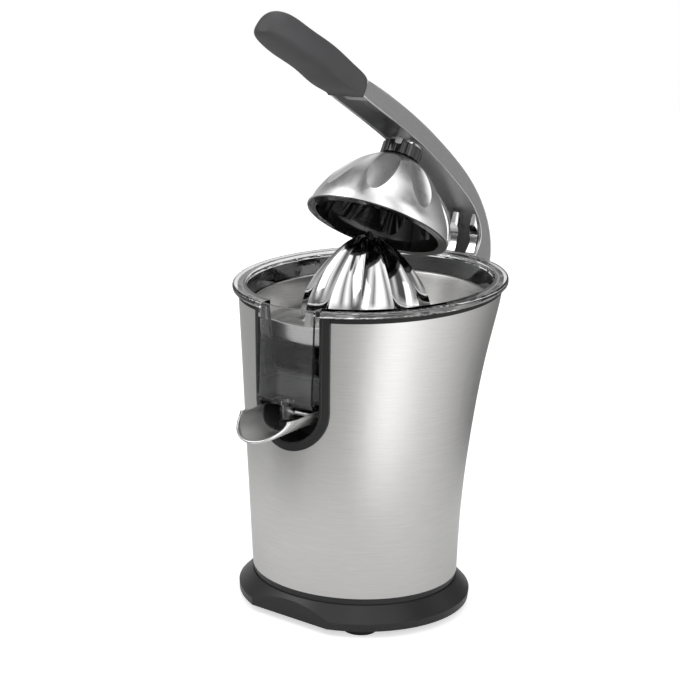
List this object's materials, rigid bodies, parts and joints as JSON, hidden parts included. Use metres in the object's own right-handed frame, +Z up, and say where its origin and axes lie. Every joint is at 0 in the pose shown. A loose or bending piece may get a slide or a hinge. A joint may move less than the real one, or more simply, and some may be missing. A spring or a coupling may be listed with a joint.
{
  "type": "lever citrus juice press",
  "caption": "Electric citrus press: steel tumbler body with a clear slanted rim, ribbed cone, drip spout, and a curved rear lever carrying a fluted press dome.",
  "frame": {"origin": "middle of the overall box, on the plane that the rubber feet stand on; the middle of the slanted rim lies straight above it", "axes": "+Z up, -Y towards the spout and the grip (front), +Y towards the lever hinge (back), +X to the right seen from the front"},
  "size_m": [0.184, 0.2679, 0.3914],
  "materials": {
    "black_plastic": "satin",
    "dark_plastic": "matt",
    "black_rubber": "matt",
    "brushed_steel": "horizontally brushed",
    "polished_steel": "polished",
    "chrome_trim": "mirror polished",
    "smoky_clear": "clear, slightly smoky",
    "shaft_steel": "ground",
    "gear_plastic": "natural",
    "bush_brass": "sintered",
    "motor_iron": "lacquered",
    "zinc_screw": "zinc plated",
    "arm_metal": "fine metallic grain, matt",
    "grip_soft": "soft touch",
    "gloss_black": "gloss"
  },
  "bodies": {
    "housing": {"base_plate": "black_plastic", "bottom_cover": "black_plastic", "cover_screws": "zinc_screw", "feet": "black_rubber", "housing_shell": "brushed_steel", "slot_bezel": "black_plastic", "slot_pocket": "black_plastic", "rim_gasket": "black_rubber", "cord_gland": "black_plastic", "juice_collector": "smoky_clear", "sieve_bowl": "brushed_steel", "idler_axle": "shaft_steel", "gear_plate_low": "dark_plastic", "gear_plate_high": "dark_plastic", "plate_bushes": "bush_brass", "top_bush": "bush_brass", "plate_posts": "dark_plastic", "chassis_tub": "dark_plastic", "shaft_seal": "black_rubber", "motor_can": "zinc_screw", "motor_stator": "motor_iron", "microswitch": "dark_plastic", "return_spring": "shaft_steel", "spout_pin": "shaft_steel", "hinge_bracket": "black_plastic", "bracket_screws": "zinc_screw", "hinge_pin": "chrome_trim", "hinge_washers": "gear_plastic"},
    "plunger": {"switch_plunger": "dark_plastic"},
    "spindle": {"drive_shaft": "shaft_steel", "output_gear": "gear_plastic", "cone_core": "dark_plastic", "reamer_cone": "polished_steel", "cone_pin": "chrome_trim"},
    "idler": {"idler_gear": "gear_plastic"},
    "rotor": {"motor_pinion": "gear_plastic", "rotor_core": "motor_iron", "rotor_shaft": "shaft_steel"},
    "spout": {"drip_spout": "polished_steel", "spout_pad": "black_rubber"},
    "arm": {"lever_arm": "arm_metal", "arm_knuckle": "shaft_steel", "arm_legs": "chrome_trim", "grip_tang": "arm_metal", "lever_grip": "grip_soft", "dome_boss": "chrome_trim", "press_dome": "polished_steel", "dome_liner": "gloss_black", "dome_trim": "gloss_black"},
    "collar": {"release_collar": "gloss_black"}
  },
  "joints": [
    {"name": "cone_press", "type": "slide", "parent": "housing", "child": "plunger", "axis": [0, 0, -1], "range_m": [0, 0.0025], "stiffness_N_per_m": 3000, "springref_m": -0.004, "deforming": ["return_spring"]},
    {"name": "cone_spin", "type": "hinge", "parent": "plunger", "child": "spindle", "pos_m": [0, -0.003, 0.2], "axis": [0, 0, 1], "continuous": true},
    {"name": "idler_spin", "type": "hinge", "parent": "housing", "child": "idler", "pos_m": [0.02598, 0.012, 0.11], "axis": [0, 0, 1], "continuous": true},
    {"name": "rotor_spin", "type": "hinge", "parent": "housing", "child": "rotor", "pos_m": [0.00598, 0.012, 0.08], "axis": [0, 0, 1], "continuous": true},
    {"name": "spout_tilt", "type": "hinge", "parent": "housing", "child": "spout", "pos_m": [0, -0.072, 0.1415], "axis": [1, 0, 0], "range_deg": [-9, 0]},
    {"name": "lever_pivot", "type": "hinge", "parent": "housing", "child": "arm", "pos_m": [0, 0.108, 0.2093], "axis": [1, 0, 0], "range_deg": [-40, 19]},
    {"name": "collar_twist", "type": "hinge", "parent": "arm", "child": "collar", "pos_m": [0, 0.03042, 0.30288], "axis": [0, 0.4664, 0.8846], "range_deg": [0, 40]}
  ],
  "couplings": [
    {"joint": "cone_spin", "follows": "rotor_spin", "ratio": 0.0625},
    {"joint": "idler_spin", "follows": "rotor_spin", "ratio": -0.25}
  ]
}
